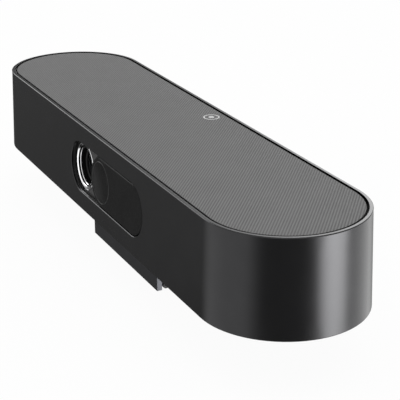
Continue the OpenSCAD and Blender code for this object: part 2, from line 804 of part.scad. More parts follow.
module shield_can() color("#b9bcc0") translate([can_x, board_mid_y, board_top]) difference() {
    block(can_w, can_d, can_h);
    translate([0, 0, -cut]) block(can_w - 2 * can_wall, can_d - 2 * can_wall, can_h - can_wall + cut);
}

module board_screws() color("#8a8c90")
    for (p = STANDOFFS) translate([p[0], p[1], board_top]) mirror([0, 0, 1])
        screw(small_screw, board_screw_len);

module usb_receptacle() color("#aeb1b5")
    translate([usb_x, port_face_y - port_lip - usb_len, board_top + usb_h / 2]) rotate([-90, 0, 0]) {
        difference() {
            linear_extrude(usb_len) stadium(usb_w, usb_h);
            translate([0, 0, usb_len - usb_tongue_len - cut]) linear_extrude(usb_len)
                stadium(usb_w - 2 * usb_wall, usb_h - 2 * usb_wall);
        }
        translate([0, 0, usb_len - usb_tongue_len - 2 * cut])
            block(usb_tongue_w, usb_tongue_t, usb_tongue_len + cut);
    }

module audio_jack() color("#1a1a1c")
    translate([jack_x, 0, board_top + jack_h / 2]) rotate([-90, 0, 0]) {
        block_end = port_wall_y - port_flange_t - jack_gap;
        mouth = port_face_y - port_lip;
        difference() {
            union() {
                translate([0, 0, mouth - jack_deep - cut])
                    block(jack_w, jack_h, block_end - mouth + jack_deep + cut);
                translate([0, 0, block_end - cut]) cylinder(h = mouth - block_end + cut, r = jack_nose_r);
            }
            translate([0, 0, mouth - jack_deep]) cylinder(h = jack_deep + cut, r = jack_bore_r);
        }
    }

module port_bezel() color("#1e1f21") difference() {
    translate([0, 0, port_z]) rotate([-90, 0, 0]) {
        translate([0, 0, port_wall_y - port_flange_t]) linear_extrude(port_flange_t)
            square([port_w + 2 * port_flange, port_h + 2 * port_flange], center = true);
        translate([0, 0, port_wall_y - port_flange_t]) linear_extrude(port_face_y - port_wall_y + port_flange_t)
            square([port_w, port_h], center = true);
    }
    translate([usb_x, port_wall_y - port_flange_t - cut, board_top + usb_h / 2]) rotate([-90, 0, 0])
        linear_extrude(port_face_y) stadium(usb_w + 2 * fit, usb_h + 2 * fit);
    translate([jack_x, port_wall_y - port_flange_t - cut, board_top + jack_h / 2]) rotate([-90, 0, 0])
        cylinder(h = port_face_y, r = jack_nose_r + fit);
}

// Places of the microphones
module at_mics() {
    for (i = [0:mic_count - 1]) translate([(i - (mic_count - 1) / 2) * mic_pitch, mic_y, 0]) children();
}

// Places of the screws that hold the microphone board
module at_mic_screws() {
    for (x = [-mic_board_len / 2 + post_end_in, -mic_pitch, mic_pitch, mic_board_len / 2 - post_end_in])
        translate([x, mic_y, 0]) children();
}

module mic_board() color("#1d5a35") difference() {
    translate([0, mic_y, carrier_z - mic_stand - mic_board_t]) linear_extrude(mic_board_t)
        square([mic_board_len, mic_board_w], center = true);
    at_mics() translate([0, 0, carrier_z - mic_stand - mic_board_t - cut])
        cylinder(h = mic_board_t + 2 * cut, r = mic_port_r);
    at_mic_screws() translate([0, 0, carrier_z - mic_stand - mic_board_t - cut])
        cylinder(h = mic_board_t + 2 * cut, r = small_screw[1]);
}

module microphones() color("#c2b280")
    at_mics() translate([0, 0, carrier_z - mic_stand - mic_board_t - mic_t]) block(mic_w, mic_d, mic_t);

module mic_gaskets() color("#111111") at_mics() translate([0, 0, carrier_z - mic_stand]) difference() {
    cylinder(h = mic_stand, r = gasket_r);
    translate([0, 0, -cut]) cylinder(h = mic_stand + 2 * cut, r = mic_port_r);
}

module mic_screws() color("#8a8c90")
    at_mic_screws() translate([0, 0, carrier_z - mic_stand - mic_board_t]) screw(small_screw, mic_screw_len);

module touch_board() color("#1d5a35")
    translate([0, touch_y, carrier_z - touch_t]) block(touch_w, touch_d, touch_t);

module speaker_box(s) color("#2a2b2e") translate([s * driver_x, 0, cover_top]) difference() {
    linear_extrude(box_h) round_rect(box_len, box_w, box_corner_r);
    translate([0, 0, box_wall]) linear_extrude(box_h - 2 * box_wall)
        round_rect(box_len - 2 * box_wall, box_w - 2 * box_wall, box_corner_r - box_wall);
    translate([0, 0, box_h - box_wall - cut]) cylinder(h = box_wall + 2 * cut, r = driver_hole_r);
    at_driver_screws() translate([0, 0, box_h - box_wall - cut])
        cylinder(h = box_wall + 2 * cut, r = small_screw[0]);
}

// Places of the four screws of a driver, about its axis
module at_driver_screws() {
    for (a = [45:90:315]) rotate(a) translate([driver_r - driver_screw_in, 0, 0]) children();
}

module speaker_basket(s) color("#35373a") translate([s * driver_x, 0, box_top]) difference() {
    rotate_extrude() polygon([
        [basket_r - basket_wall, driver_flange_t], [driver_r, driver_flange_t], [driver_r, 0], [basket_r, 0],
        [basket_foot_r, basket_wall - basket_deep], [basket_foot_r, -basket_deep],
        [coil_r + 2 * basket_wall, -basket_deep], [coil_r + 2 * basket_wall, basket_wall - basket_deep],
        [basket_foot_r - basket_wall, basket_wall - basket_deep], [basket_r - basket_wall, 0]]);
    for (a = [0:60:300]) rotate(a) translate([(basket_foot_r + basket_r) / 2, 0, -basket_deep / 2])
        rotate([0, 90, 0]) cylinder(h = basket_r, r = basket_window_share * basket_deep / 2, center = true);
    at_driver_screws() translate([0, 0, -cut]) cylinder(h = driver_flange_t + 2 * cut, r = small_screw[1]);
}

module speaker_magnet(s) color("#47494d") translate([s * driver_x, 0, box_top - basket_deep]) {
    gap_r = coil_r + 2 * fit;
    translate([0, 0, -magnet_h - plate_t]) cylinder(h = plate_t, r = magnet_r - plate_t);
    translate([0, 0, -magnet_h]) difference() {
        cylinder(h = magnet_h, r = magnet_r);
        translate([0, 0, -cut]) cylinder(h = magnet_h + 2 * cut, r = gap_r);
    }
    translate([0, 0, -magnet_h - plate_t]) cylinder(h = magnet_h + plate_t, r = coil_r - cone_t - 2 * fit);
}

module speaker_cone(s) color("#202123") translate([s * driver_x, 0, box_top + driver_flange_t]) {
    rotate_extrude() polygon([
        [coil_r - cone_t, -cone_deep], [coil_r - cone_t, -basket_deep - driver_flange_t - plate_t],
        [coil_r, -basket_deep - driver_flange_t - plate_t], [coil_r, -cone_deep],
        [cone_r, 0], [cone_r, cone_t], [cone_r - cone_t, cone_t], [coil_r, cone_t - cone_deep],
        [0, cone_t - cone_deep], [0, -cone_deep]]);
}

module speaker_surround(s) color("#18181a") translate([s * driver_x, 0, box_top + driver_flange_t]) {
    roll_x = cone_r + roll_r;
    rotate_extrude() difference() {
        union() {
            intersection() {
                translate([roll_x, 0]) circle(roll_r);
                translate([cone_r, 0]) square([2 * roll_r, roll_r]);
            }
            translate([roll_x + roll_r - roll_t, 0]) square([surround_r - roll_x - roll_r + roll_t, roll_t]);
        }
        translate([roll_x, 0]) circle(roll_r - roll_t);
    }
}

module speaker_screws() color("#8a8c90")
    for (s = [-1, 1]) translate([s * driver_x, 0, box_top + driver_flange_t]) at_driver_screws()
        mirror([0, 0, 1]) screw(small_screw, driver_flange_t + box_wall);

module speaker_leads() color("#7b1f1f") for (a = [0, 180])
    translate([0, board_mid_y, 0]) rotate(a) translate([lead_socket_x, 0, 0]) {
        bend_z = terminal_z - lead_bend;
        socket_z = board_top + lead_socket_h;
        translate([0, 0, socket_z]) cylinder(h = bend_z - socket_z, r = lead_r);
        translate([lead_bend, 0, bend_z]) rotate([90, 0, 0]) rotate(90)
            rotate_extrude(angle = 90) translate([lead_bend, 0]) circle(lead_r);
        translate([lead_bend, 0, terminal_z]) rotate([0, 90, 0])
            cylinder(h = box_x - lead_socket_x - lead_bend, r = lead_r);
    }

// Places of the four screws of the shoe
module at_shoe_screws() {
    for (sx = [-1, 1], sy = [-1, 1]) translate([sx * shoe_screw_x, sy * shoe_screw_y, 0]) children();
}

// Children turned so that a profile of Y and Z is drawn in the plane and rises along X
module along_x(len) {
    rotate([90, 0, 90]) linear_extrude(len, center = true) children();
}

// A rod or bore on an axis along X
module x_rod(y, z, r, len) {
    translate([-len / 2, y, z]) rotate([0, 90, 0]) cylinder(h = len, r = r);
}

module clip_shoe() color("#3d3f43") difference() {
    union() {
        translate([0, 0, shoe_z]) linear_extrude(shoe_t) round_rect(shoe_w, shoe_d, shoe_corner_r);
        x_rod(0, tilt_z, lug_r, lug_w);
        translate([0, 0, tilt_z]) block(lug_w, 2 * lug_r, shoe_z - tilt_z + shoe_t / 2);
    }
    x_rod(0, tilt_z, tilt_pin_r + pin_play, lug_w + 2 * cut);
    at_shoe_screws() {
        translate([0, 0, shoe_z - cut]) cylinder(h = shoe_t + 2 * cut, r = shoe_screw[1]);
        translate([0, 0, shoe_z - cut]) cylinder(h = head_h + cut, r = shoe_screw[2] + fit);
    }
}

module shoe_screws() color("#8a8c90")
    at_shoe_screws() translate([0, 0, shoe_z + head_h]) screw(shoe_screw, shoe_screw_len);

// Side view of the saddle: a plate with a front lip, joined by a round bend
module saddle_profile() {
    difference() {
        union() {
            translate([-lip_y, plate_z]) square([lip_y + saddle_back_y, clip_t]);
            translate([-lip_y, 0]) square([clip_t, plate_top]);
        }
        translate([-lip_y, plate_top]) difference() {
            translate([-cut, -bend_r]) square([bend_r + cut, bend_r + cut]);
            translate([bend_r, -bend_r]) circle(bend_r);
        }
    }
}

module clip_saddle() color("#4a4c50") difference() {
    union() {
        along_x(clip_w) saddle_profile();
        for (s = [-1, 1]) translate([s * (clip_w - cheek_t) / 2, 0, 0]) along_x(cheek_t) {
            translate([hinge_y, hinge_r]) circle(hinge_r);
            translate([hinge_y - hinge_r, hinge_r]) square([2 * hinge_r, plate_z - hinge_r + clip_t / 2]);
        }
        for (s = [-1, 1]) translate([s * (ear_x + ear_t / 2), 0, 0]) along_x(ear_t) {
            translate([0, tilt_z]) circle(ear_r);
            translate([-ear_r, plate_top - clip_t / 2]) square([2 * ear_r, tilt_z - plate_top + clip_t / 2]);
        }
    }
    x_rod(0, tilt_z, tilt_pin_r, clip_w);
    x_rod(hinge_y, hinge_r, leg_pin_r, clip_w + 2 * cut);
}

module tilt_pin() color("#b4b7bb") {
    reach = ear_x + ear_t;
    x_rod(0, tilt_z, tilt_pin_r, 2 * reach);
    for (s = [-1, 1]) translate([s * (reach + pin_head_t / 2), 0, 0]) x_rod(0, tilt_z, pin_head_r, pin_head_t);
}

module tilt_washers() color("#d0d2d4") for (s = [-1, 1])
    translate([s * (ear_x - washer_t / 2), 0, 0]) difference() {
        x_rod(0, tilt_z, washer_r, washer_t);
        x_rod(0, tilt_z, tilt_pin_r, washer_t + 2 * cut);
    }

module lip_pad() color("#151516") translate([0, 0, lip_pad_z]) along_x(clip_w - 2 * pad_side)
    translate([clip_t - lip_y, 0]) square([pad_t, plate_z - pad_t - 2 * fit - lip_pad_z]);

module saddle_pad() color("#151516") along_x(clip_w - 2 * pad_side)
    translate([clip_t - lip_y, plate_z - pad_t]) square([lip_y - clip_t + hinge_y - hinge_r - pad_side, pad_t]);

module leg_hinge_pin() color("#b4b7bb") x_rod(hinge_y, hinge_r, leg_pin_r, clip_w);

// Side view of the leg: barrel, tapered plate and the tongue that holds the tip
module leg_profile() {
    translate([hinge_y, hinge_r]) circle(hinge_r);
    polygon([[hinge_y, leg_lift], [hinge_y, 2 * hinge_r], [leg_end_y, leg_lift + leg_tip_t],
        [leg_end_y, leg_lift]]);
    translate([tip_y - tongue_in, tip_r - tongue_t / 2])
        square([leg_end_y - tip_y + tongue_in + tongue_t, tongue_t]);
}

module clip_leg() color("#4a4c50") difference() {
    along_x(leg_w) leg_profile();
    x_rod(hinge_y, hinge_r, leg_pin_r + pin_play, leg_w + 2 * cut);
    translate([0, foot_y, leg_lift - cut]) block(foot_w, foot_d, foot_in + cut);
    translate([0, insert_y, -cut]) cylinder(h = 2 * hinge_r + 2 * cut, r = insert_r);
}

module leg_tip_pad() color("#0f0f10") difference() {
    x_rod(tip_y, tip_r, tip_r, tip_len);
    along_x(leg_w) leg_profile();
}

module leg_foot_pad() color("#151516") translate([0, foot_y, 0]) block(foot_w, foot_d, leg_lift + foot_in);

module tripod_insert() color("#b08d57") {
    leg_slope = (2 * hinge_r - leg_lift - leg_tip_t) / (hinge_y - leg_end_y);
    leg_top = leg_lift + leg_tip_t + leg_slope * (insert_y - insert_r - leg_end_y);
    difference() {
        translate([0, insert_y, leg_lift]) cylinder(h = leg_top - leg_lift, r = insert_r);
        translate([0, insert_y, -cut]) cylinder(h = leg_top + 2 * cut, r = tripod_r);
    }
}

main_housing();
bottom_cover();
cover_screws();
grille_carrier();
grille_cloth();
shutter_track();
track_screws();
privacy_shutter();
shutter_spring();
lens_bezel();
lens_retainer();
lens_front_glass();
lens_barrel();
lens_rear_glass();
lens_holder();
holder_screws();
ir_filter();
image_sensor();
sensor_board();
sensor_board_screws();
sensor_heatsink();
sensor_flex();
main_board();
board_parts();
processor_heatsink();
shield_can();
board_screws();
usb_receptacle();
audio_jack();
port_bezel();
mic_board();
microphones();
mic_gaskets();
mic_screws();
touch_board();
speaker_box(-1);  // speaker_box_left
speaker_box(1);  // speaker_box_right
speaker_basket(-1);  // speaker_basket_left
speaker_basket(1);  // speaker_basket_right
speaker_magnet(-1);  // speaker_magnet_left
speaker_magnet(1);  // speaker_magnet_right
speaker_cone(-1);  // speaker_cone_left
speaker_cone(1);  // speaker_cone_right
speaker_surround(-1);  // speaker_surround_left
speaker_surround(1);  // speaker_surround_right
speaker_screws();
speaker_leads();
clip_shoe();
shoe_screws();
clip_saddle();
tilt_pin();
tilt_washers();
lip_pad();
saddle_pad();
leg_hinge_pin();
clip_leg();
leg_tip_pad();
leg_foot_pad();
tripod_insert();
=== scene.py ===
"""Dresses the conference camera: soft-edged metal, grille cloth, lens, shutter and display clip."""
import logging
import math
from dataclasses import dataclass
from enum import Enum

import bpy
from mathutils import Matrix, Vector


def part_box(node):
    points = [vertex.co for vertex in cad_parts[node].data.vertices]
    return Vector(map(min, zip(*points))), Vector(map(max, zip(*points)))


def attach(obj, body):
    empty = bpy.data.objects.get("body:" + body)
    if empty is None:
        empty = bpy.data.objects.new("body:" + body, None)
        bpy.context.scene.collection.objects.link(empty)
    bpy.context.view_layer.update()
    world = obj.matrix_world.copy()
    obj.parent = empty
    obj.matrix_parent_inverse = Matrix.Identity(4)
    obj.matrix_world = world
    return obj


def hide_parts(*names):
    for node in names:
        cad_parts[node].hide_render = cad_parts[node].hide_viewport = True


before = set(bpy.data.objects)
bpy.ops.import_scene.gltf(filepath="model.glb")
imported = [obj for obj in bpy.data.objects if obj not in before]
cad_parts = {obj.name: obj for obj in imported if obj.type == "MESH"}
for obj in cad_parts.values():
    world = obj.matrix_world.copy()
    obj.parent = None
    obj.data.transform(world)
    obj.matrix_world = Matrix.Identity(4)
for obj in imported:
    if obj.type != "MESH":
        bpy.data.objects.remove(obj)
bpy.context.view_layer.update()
LOG = logging.getLogger("camera")

MM = 0.001
WHITE = (1.0, 1.0, 1.0, 1.0)

# What an input of a node is given: the output of another node, or a number
Value = bpy.types.NodeSocket | float

# Points nearer than this are merged, in metres
MERGE = 0.002 * MM
# Faces that differ by less than the first angle become one, and edges above the second are rounded
FLAT_ANGLE = math.radians(0.2)
EDGE_ANGLE = math.radians(35)
# Meshes are spun about this, and so go anticlockwise as seen from above
SPIN_AXIS = (0.0, 0.0, -1.0)
# Places of the colours among the inputs of a colour mix, and of the result among its outputs
MIX_FIRST = 6
MIX_SECOND = 7
MIX_RESULT = 2

# The front: how far it leans back over its height, and its middle, in millimetres
FRONT_DRAFT = 1.5
FRONT_HEIGHT = 48.0
FRONT_Y = -40.75
FRONT_Z = 51.0


class Body(Enum):
    """The CAD bodies that pieces ride on."""

    CAMERA = "camera_body"
    SHUTTER = "shutter"
    SADDLE = "clip_saddle_body"
    LEG = "clip_leg_body"


class Pattern(Enum):
    """How the noise of a plain finish runs."""

    GRAIN = "grain"
    BRUSHED = "brushed"


class Tree:
    """Adds and links the nodes of one shader."""

    def __init__(self, tree: bpy.types.NodeTree) -> None:
        """Starts with an empty tree.

        Args:
            tree: The node tree of a material or a world.
        """
        self.tree = tree
        self.tree.nodes.clear()

    def add(self, kind: str, **inputs: object) -> bpy.types.Node:
        """Adds a node and sets what is named.

        Args:
            kind: The node's type name, without its common prefix.
            inputs: Values of the node's properties, or of its inputs by name.

        Returns:
            The new node.
        """
        node = self.tree.nodes.new("ShaderNode" + kind)
        for name, value in inputs.items():
            if hasattr(node, name) and name not in node.inputs:
                setattr(node, name, value)
            else:
                node.inputs[name.replace("_", " ")].default_value = value
        return node

    def link(self, source: bpy.types.NodeSocket, target: bpy.types.NodeSocket) -> None:
        """Joins an output to an input."""
        self.tree.links.new(source, target)

    def compute(self, operation: str, *values: Value) -> bpy.types.NodeSocket:
        """Adds a Math node on sockets or numbers.

        Args:
            operation: The node's operation.
            values: Its inputs in their order, each a socket or a number.

        Returns:
            The node's output.
        """
        node = self.add("Math", operation=operation)
        for place, value in enumerate(values):
            if isinstance(value, bpy.types.NodeSocket):
                self.link(value, node.inputs[place])
            else:
                node.inputs[place].default_value = value
        return node.outputs[0]

    def noise(self, place: bpy.types.NodeSocket, size_mm: float, detail: float) -> bpy.types.NodeSocket:
        """Adds a noise texture.

        Args:
            place: The coordinates.
            size_mm: Size of its cells.
            detail: Its levels of finer noise.

        Returns:
            The noise, from 0 to 1.
        """
        node = self.add("TexNoise", Scale=1 / (size_mm * MM), Detail=detail)
        self.link(place, node.inputs["Vector"])
        return node.outputs["Fac"]

    def ramp(self, value: bpy.types.NodeSocket, span: tuple[float, float],
             shades: tuple[tuple[float, ...], tuple[float, ...]]) -> bpy.types.NodeSocket:
        """Adds a ramp between two colours.

        Args:
            value: What the ramp reads.
            span: The values at which it starts and ends.
            shades: The colours at its start and end.

        Returns:
            The colour.
        """
        node = self.add("ValToRGB")
        for stop, position, shade in zip(node.color_ramp.elements, span, shades):
            stop.position = position
            stop.color = shade
        self.link(value, node.inputs["Fac"])
        return node.outputs["Color"]

    def remap(self, value: bpy.types.NodeSocket, span: tuple[float, float],
              target: tuple[float, float] = (0.0, 1.0), curve: str = "LINEAR") -> bpy.types.NodeSocket:
        """Maps one span of values onto another and holds it at both ends.

        Args:
            value: What is mapped.
            span: The values that are mapped onto the ends of the target.
            target: The ends of the result.
            curve: The node's way from one end to the other.

        Returns:
            The mapped value.
        """
        node = self.add("MapRange", interpolation_type=curve)
        ends = {"From Min": span[0], "From Max": span[1], "To Min": target[0], "To Max": target[1]}
        for name, end in ends.items():
            node.inputs[name].default_value = end
        self.link(value, node.inputs["Value"])
        return node.outputs["Result"]

    def blend(self, share: bpy.types.NodeSocket, first: bpy.types.NodeSocket,
              second: bpy.types.NodeSocket) -> bpy.types.NodeSocket:
        """Adds a mix of two shaders.

        Args:
            share: The second shader's share.
            first: The first shader.
            second: The second shader.

        Returns:
            The mixed shader.
        """
        node = self.add("MixShader")
        for place, source in enumerate((share, first, second)):
            self.link(source, node.inputs[place])
        return node.outputs[0]

    def bump(self, height: bpy.types.NodeSocket, depth_mm: float, shader: bpy.types.Node) -> None:
        """Adds a bump to a shader.

        Args:
            height: The height, from 0 to 1.
            depth_mm: What a height of 1 stands for.
            shader: The Principled shader.
        """
        node = self.add("Bump", Distance=depth_mm * MM, Strength=1.0)
        self.link(height, node.inputs["Height"])
        self.link(node.outputs["Normal"], shader.inputs["Normal"])


@dataclass(frozen=True)
class Finish:
    """A moulded, painted or machined surface with fine grain.

    The spreads say how far colour and roughness stray from their middle. The detail pair belongs to the
    fine grain and to the large blotches, which share the noise. The spans are the parts of the noise that
    colour and roughness follow.
    """

    name: str
    colour: tuple[float, float, float]
    roughness: float
    metallic: float = 0.0
    spread: float = 0.12
    roughness_spread: float = 0.08
    grain_mm: float = 0.35
    blotch_mm: float = 14.0
    bump_mm: float = 0.006
    specular: float = 0.5
    coat: float = 0.0
    coat_roughness: float = 0.1
    transmission: float = 0.0
    ior: float = 1.5
    pattern: Pattern = Pattern.GRAIN
    detail: tuple[float, float] = (3.0, 2.0)
    grain_share: float = 0.5
    colour_span: tuple[float, float] = (0.35, 0.65)
    polish_span: tuple[float, float] = (0.3, 0.7)
    least_roughness: float = 0.02
    brush_stretch: tuple[float, float, float] = (0.06, 1.0, 1.0)

    def material(self) -> bpy.types.Material:
        """Makes the material, or finds the one made before.

        Returns:
            The material of this finish.
        """
        title = "finish_" + self.name
        made = bpy.data.materials.get(title)
        if made:
            return made
        made = bpy.data.materials.new(title)
        made.use_nodes = True
        tree = Tree(made.node_tree)
        output = tree.add("OutputMaterial")
        shader = tree.add("BsdfPrincipled", Metallic=self.metallic, IOR=self.ior)
        shader.inputs["Specular IOR Level"].default_value = self.specular
        shader.inputs["Coat Weight"].default_value = self.coat
        shader.inputs["Coat Roughness"].default_value = self.coat_roughness
        shader.inputs["Transmission Weight"].default_value = self.transmission
        tree.link(shader.outputs[0], output.inputs["Surface"])
        self.surface(tree, shader)
        return made

    def shades(self) -> tuple[tuple[float, ...], tuple[float, ...]]:
        """Works out the two shades that the surface moves between.

        Returns:
            The darker and the lighter shade of the colour.
        """
        dark = tuple(c * (1 - self.spread) for c in self.colour) + (1.0,)
        light = tuple(min(1.0, c * (1 + self.spread)) for c in self.colour) + (1.0,)
        return dark, light

    def surface(self, tree: Tree, shader: bpy.types.Node) -> None:
        """Links colour, roughness and bump from noise on the object's own coordinates.

        Args:
            tree: The material's nodes.
            shader: The Principled shader.
        """
        place = tree.add("TexCoord").outputs["Object"]
        if self.pattern is Pattern.BRUSHED:
            stretch = tree.add("Mapping")
            stretch.inputs["Scale"].default_value = self.brush_stretch
            tree.link(place, stretch.inputs["Vector"])
            place = stretch.outputs["Vector"]
        grain = tree.noise(place, self.grain_mm, self.detail[0])
        blotch = tree.noise(place, self.blotch_mm, self.detail[1])
        large = tree.compute("MULTIPLY", blotch, 1 - self.grain_share)
        mixed = tree.compute("MULTIPLY_ADD", grain, self.grain_share, large)
        tree.link(tree.ramp(mixed, self.colour_span, self.shades()), shader.inputs["Base Color"])
        half = self.roughness_spread / 2
        ends = (max(self.least_roughness, self.roughness - half), self.roughness + half)
        tree.link(tree.remap(mixed, self.polish_span, ends), shader.inputs["Roughness"])
        tree.bump(grain, self.bump_mm, shader)


@dataclass(frozen=True)
class Weave(Finish):
    """Grille cloth: two sets of threads that cross at a slant and pass over and under each other.

    The ribs' share is that of the threads that run one way. The threads swing by swell about the middle
    height, and fibre and blotch are shares of noise on top of them.
    """

    pitch_mm: float = 1.3
    slant: float = math.radians(-51)
    rib_share: float = 0.55
    swell: float = 0.5
    middle: float = 0.61
    fibre: float = 0.3
    blotch: float = 0.12
    colour_span: tuple[float, float] = (0.1, 1.0)

    def surface(self, tree: Tree, shader: bpy.types.Node) -> None:
        """Links the weave's colour and height.

        Args:
            tree: The material's nodes.
            shader: The Principled shader.
        """
        place = tree.add("TexCoord").outputs["Object"]
        turn = tree.add("Mapping")
        turn.inputs["Rotation"].default_value = (0.0, 0.0, self.slant)
        turn.inputs["Scale"].default_value = (math.tau / (self.pitch_mm * MM),) * 3
        tree.link(place, turn.inputs["Vector"])
        axes = tree.add("SeparateXYZ")
        tree.link(turn.outputs["Vector"], axes.inputs[0])
        along = tree.compute("SINE", axes.outputs["X"])
        across = tree.compute("SINE", axes.outputs["Y"])
        crossing = tree.compute("MULTIPLY", tree.compute("MULTIPLY", along, across), 1 - self.rib_share)
        ribs = tree.compute("MULTIPLY_ADD", along, self.rib_share, crossing)
        threads = tree.compute("MULTIPLY_ADD", ribs, self.swell, self.middle)
        fibres = tree.noise(place, self.grain_mm, self.detail[0])
        worn = tree.compute("MULTIPLY_ADD", fibres, self.fibre, threads)
        blotches = tree.noise(place, self.blotch_mm, self.detail[1])
        shade = tree.compute("MULTIPLY_ADD", blotches, self.blotch, worn)
        tree.link(tree.ramp(shade, self.colour_span, self.shades()), shader.inputs["Base Color"])
        shader.inputs["Roughness"].default_value = self.roughness
        tree.bump(worn, self.bump_mm, shader)


@dataclass(frozen=True)
class Traces(Finish):
    """Circuit board under solder mask, with lighter tracks that show through round its cells."""

    cell_mm: float = 2.5
    track: float = 0.06
    lighter: float = 1.8

    def surface(self, tree: Tree, shader: bpy.types.Node) -> None:
        """Links the mask's colour, with lines of a lighter shade.

        Args:
            tree: The material's nodes.
            shader: The Principled shader.
        """
        super().surface(tree, shader)
        place = tree.add("TexCoord").outputs["Object"]
        cells = tree.add("TexVoronoi", feature="DISTANCE_TO_EDGE", distance="MANHATTAN")
        cells.inputs["Scale"].default_value = 1 / (self.cell_mm * MM)
        tree.link(place, cells.inputs["Vector"])
        lines = tree.compute("LESS_THAN", cells.outputs["Distance"], self.track)
        mix = tree.add("Mix", data_type="RGBA")
        base = shader.inputs["Base Color"].links[0].from_socket
        tree.link(lines, mix.inputs["Factor"])
        tree.link(base, mix.inputs[MIX_FIRST])
        bright = tuple(min(1.0, c * self.lighter) for c in self.colour) + (1.0,)
        mix.inputs[MIX_SECOND].default_value = bright
        tree.link(mix.outputs[MIX_RESULT], shader.inputs["Base Color"])


def grey(level: float) -> tuple[float, float, float]:
    """Gives a neutral colour of one linear level."""
    return (level, level, level)


class Palette:
    """The finishes of the camera's pieces, each under its material slot."""

    dark_metal = Finish("dark_metal", (0.033, 0.033, 0.034), 0.24, metallic=1.0, roughness_spread=0.03,
                        spread=0.05, grain_mm=0.2, bump_mm=0.0006)
    cover_plastic = Finish("cover_plastic", grey(0.028), 0.5)
    carrier_plastic = Finish("carrier_plastic", grey(0.02), 0.6)
    cloth = Weave("cloth", grey(0.122), 0.95, spread=0.75, grain_mm=0.25, bump_mm=0.12, specular=0.2)
    # Painted shade: a near-black finish for the cloth's sides, standing in for the shadow in the gap
    # between the rim and the cloth
    cloth_edge_painted_shade = Finish("cloth_edge_painted_shade", grey(0.01), 0.95, specular=0.1)
    track_plastic = Finish("track_plastic", grey(0.012), 0.45)
    shutter_plastic = Finish("shutter_plastic", grey(0.0022), 0.27, specular=0.11, grain_mm=0.25,
                             bump_mm=0.004)
    # Painted highlight: the dish lip's plastic is lighter and shinier than the shutter's own, so the lip
    # shows as a bright line
    lip_plastic_painted_highlight = Finish("lip_plastic_painted_highlight", grey(0.014), 0.3, specular=0.4, grain_mm=0.25, bump_mm=0.002)
    bezel_chrome = Finish("bezel_chrome", (0.86, 0.86, 0.87), 0.08, metallic=1.0, spread=0.03,
                          roughness_spread=0.03, bump_mm=0.0004)
    lens_black = Finish("lens_black", grey(0.003), 0.4, specular=0.2)
    lens_glass = Finish("lens_glass", (0.62, 0.66, 0.72), 0.02, transmission=1.0, roughness_spread=0.01,
                        bump_mm=0.0, spread=0.02, coat=0.3, coat_roughness=0.03)
    filter_glass = Finish("filter_glass", (0.35, 0.55, 0.62), 0.03, transmission=1.0,
                          roughness_spread=0.01, bump_mm=0.0)
    steel = Finish("steel", grey(0.42), 0.28, metallic=1.0, pattern=Pattern.BRUSHED)
    pcb = Traces("pcb", (0.012, 0.09, 0.03), 0.35, coat=0.3)
    chip = Finish("chip", grey(0.02), 0.4)
    flex = Finish("flex", (0.4, 0.17, 0.03), 0.3, coat=0.4)
    aluminium = Finish("aluminium", grey(0.5), 0.35, metallic=1.0, pattern=Pattern.BRUSHED)
    tin = Finish("tin", (0.55, 0.55, 0.53), 0.3, metallic=1.0)
    gasket = Finish("gasket", grey(0.012), 0.85, bump_mm=0.02)
    box_plastic = Finish("box_plastic", grey(0.024), 0.55)
    basket_metal = Finish("basket_metal", grey(0.08), 0.5, metallic=0.6)
    magnet = Finish("magnet", grey(0.07), 0.6, metallic=0.3)
    cone = Finish("cone", grey(0.018), 0.9, bump_mm=0.03, grain_mm=0.6)
    rubber = Finish("rubber", grey(0.01), 0.7, bump_mm=0.01)
    lead = Finish("lead", (0.25, 0.012, 0.01), 0.45)
    clip_metal = Finish("clip_metal", (0.045, 0.046, 0.05), 0.32, metallic=1.0, roughness_spread=0.05,
                        spread=0.06, grain_mm=0.2, bump_mm=0.001)
    brass = Finish("brass", (0.68, 0.42, 0.14), 0.3, metallic=1.0)
    print_ink = Finish("print_ink", grey(0.62), 0.6, spread=0.08, bump_mm=0.01)


